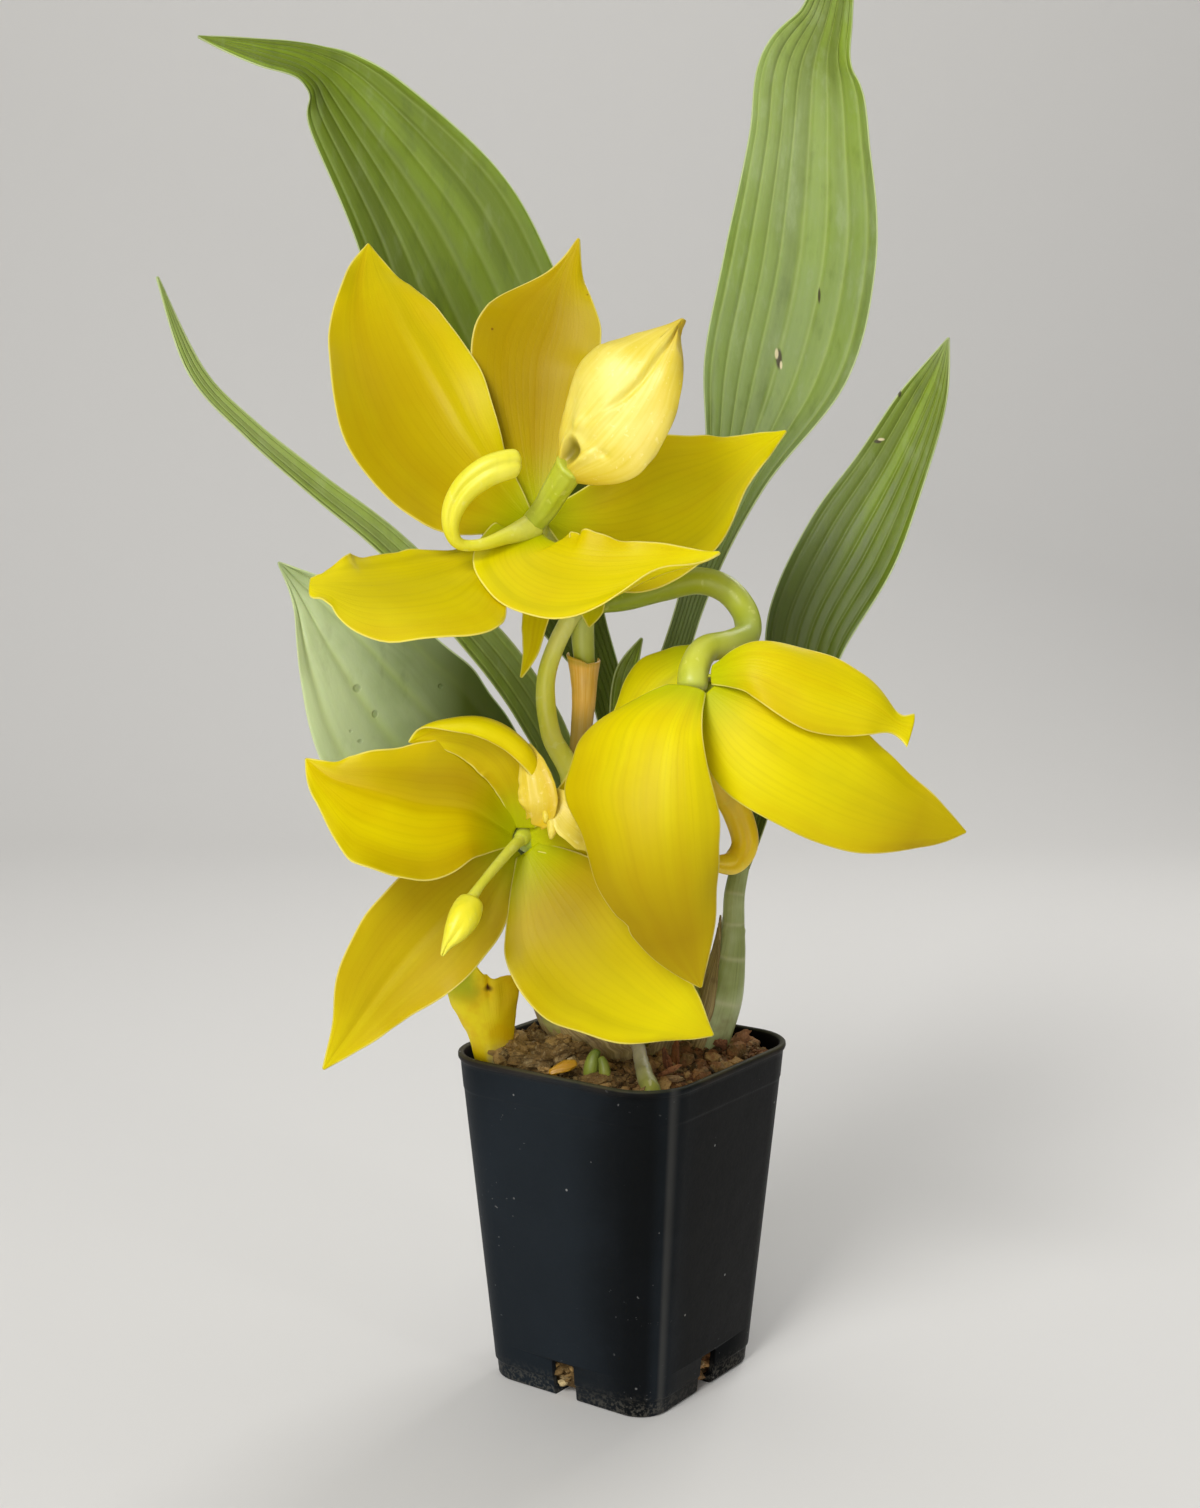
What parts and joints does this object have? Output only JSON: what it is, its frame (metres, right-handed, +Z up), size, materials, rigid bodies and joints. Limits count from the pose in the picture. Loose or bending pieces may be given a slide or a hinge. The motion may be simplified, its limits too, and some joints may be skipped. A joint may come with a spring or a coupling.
{
  "type": "potted swan orchid",
  "caption": "Flowering swan orchid with large yellow blooms on a short spike, strap leaves and swollen stems, growing in bark mix in a square plastic nursery pot.",
  "frame": {"origin": "middle of the pot's underside, on the surface it stands on", "axes": "+Z up through the plant; the blooms face -Y, towards the viewer of the picture, and +X is to that viewer's right"},
  "size_m": [0.2244, 0.1394, 0.4262],
  "materials": {
    "pot_plastic": "satin",
    "bark": "rough",
    "petal": "satin, waxy",
    "cream": "satin, waxy",
    "fresh_green": "satin",
    "leaf_green": "satin",
    "bulb_green": "matt",
    "dry_sheath": "papery",
    "orange_sheath": "papery",
    "stub_yellow": "satin",
    "root_white": "matt"
  },
  "bodies": {
    "root": {"pot": "pot_plastic", "stem_main": "bulb_green", "stem_side": "bulb_green", "spike": "fresh_green", "leaf_tall_left": "leaf_green", "leaf_narrow_left": "leaf_green", "leaf_low_left": "leaf_green", "leaf_tall_right": "leaf_green", "leaf_right": "leaf_green", "leaf_hidden": "leaf_green", "leaf_young": "leaf_green", "sheath_left": "dry_sheath", "sheath_front": "dry_sheath", "sheath_side": "dry_sheath", "leaf_stub": "stub_yellow", "root": "root_white", "new_shoots": "fresh_green", "bark_mix": "bark", "bract_dry": "orange_sheath", "bract_small": "petal", "bract_yellow": "petal", "top_column": "fresh_green", "top_lip": "cream", "top_tepal_left": "petal", "top_tepal_top": "petal", "top_tepal_right": "petal", "top_tepal_low_left": "petal", "top_tepal_low_right": "petal", "low_column": "fresh_green", "low_lip": "cream", "low_tepal_left": "petal", "low_tepal_low_left": "petal", "low_tepal_low_right": "petal", "low_tepal_top": "petal", "low_tepal_right": "petal", "right_column": "fresh_green", "right_lip": "cream", "right_tepal_front": "petal", "right_tepal_low_right": "petal", "right_tepal_top_right": "petal", "right_tepal_top_left": "petal", "right_tepal_back": "petal"}
  },
  "joints": []
}
